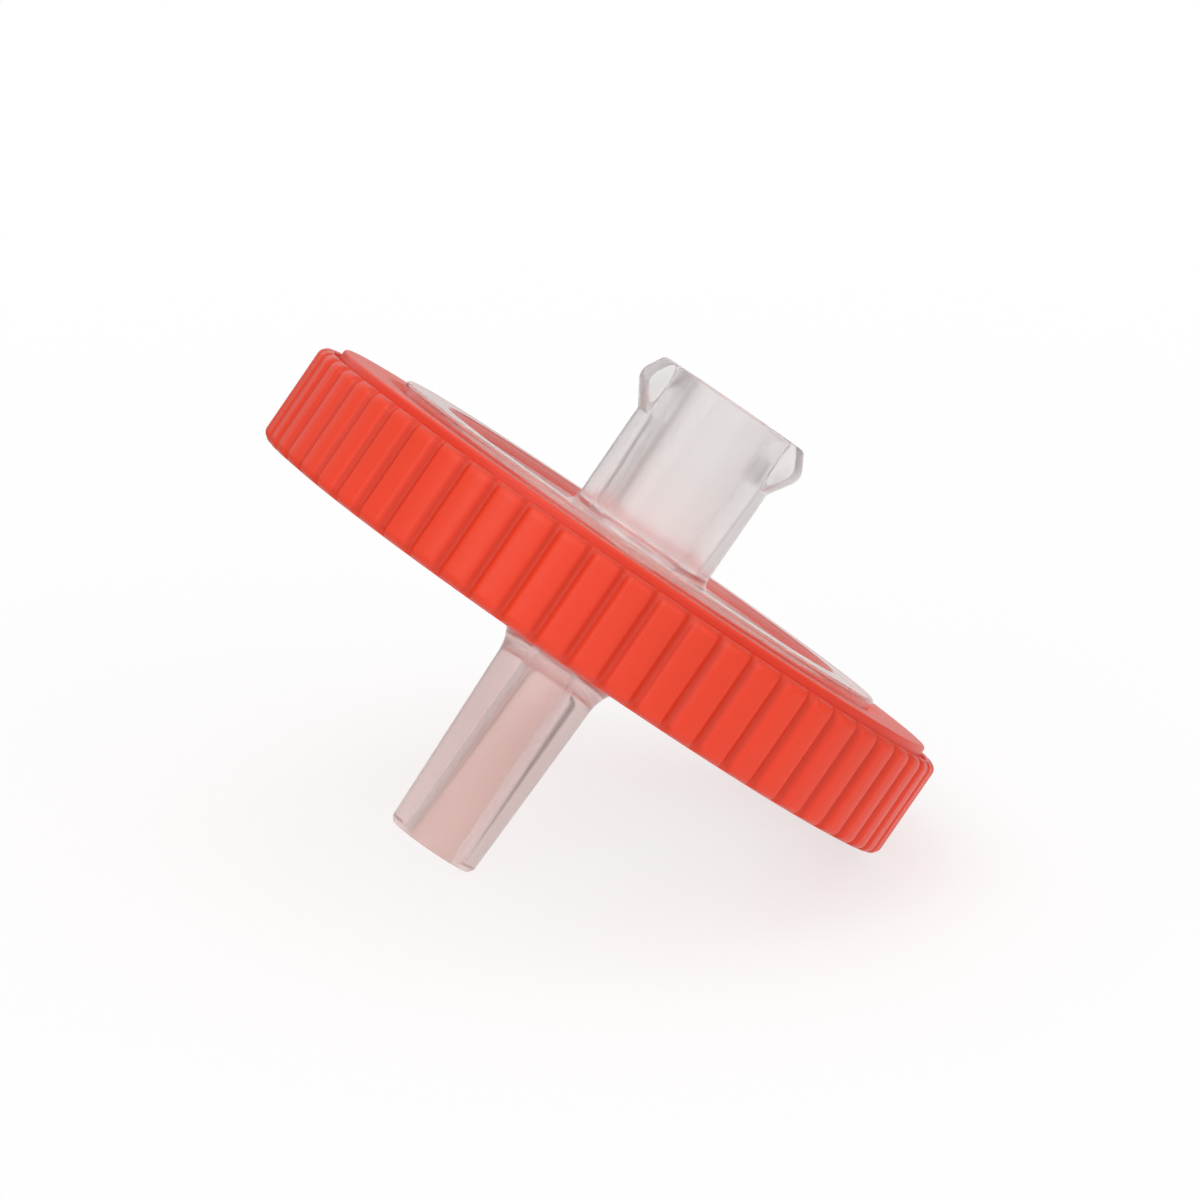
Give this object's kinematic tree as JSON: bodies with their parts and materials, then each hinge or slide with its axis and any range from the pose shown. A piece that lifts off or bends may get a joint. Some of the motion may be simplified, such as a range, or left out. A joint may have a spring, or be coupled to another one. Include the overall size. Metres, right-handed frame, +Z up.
{
  "type": "syringe filter",
  "caption": "Disc-shaped syringe filter: two translucent housings clamp a white membrane inside a red ribbed grip ring, with a female luer lock inlet and a male luer outlet.",
  "frame": {"origin": "on the bench under the middle of the filter's bounding box, as it lies on its ring and its outlet tip", "axes": "+Z up from the bench; +Y along the ring's full diameter; the port axis leans from +Z towards +X with the inlet up"},
  "size_m": [0.0266, 0.0304, 0.0218],
  "materials": {
    "translucent_inlet": "translucent natural polypropylene, smooth moulded",
    "translucent_outlet": "translucent natural polypropylene, smooth moulded",
    "red_grip": "satin moulded",
    "white_membrane": "matte microporous"
  },
  "bodies": {
    "root": {"grip_ring": "red_grip", "inlet_housing": "translucent_inlet", "outlet_housing": "translucent_outlet", "membrane": "white_membrane"}
  },
  "joints": []
}
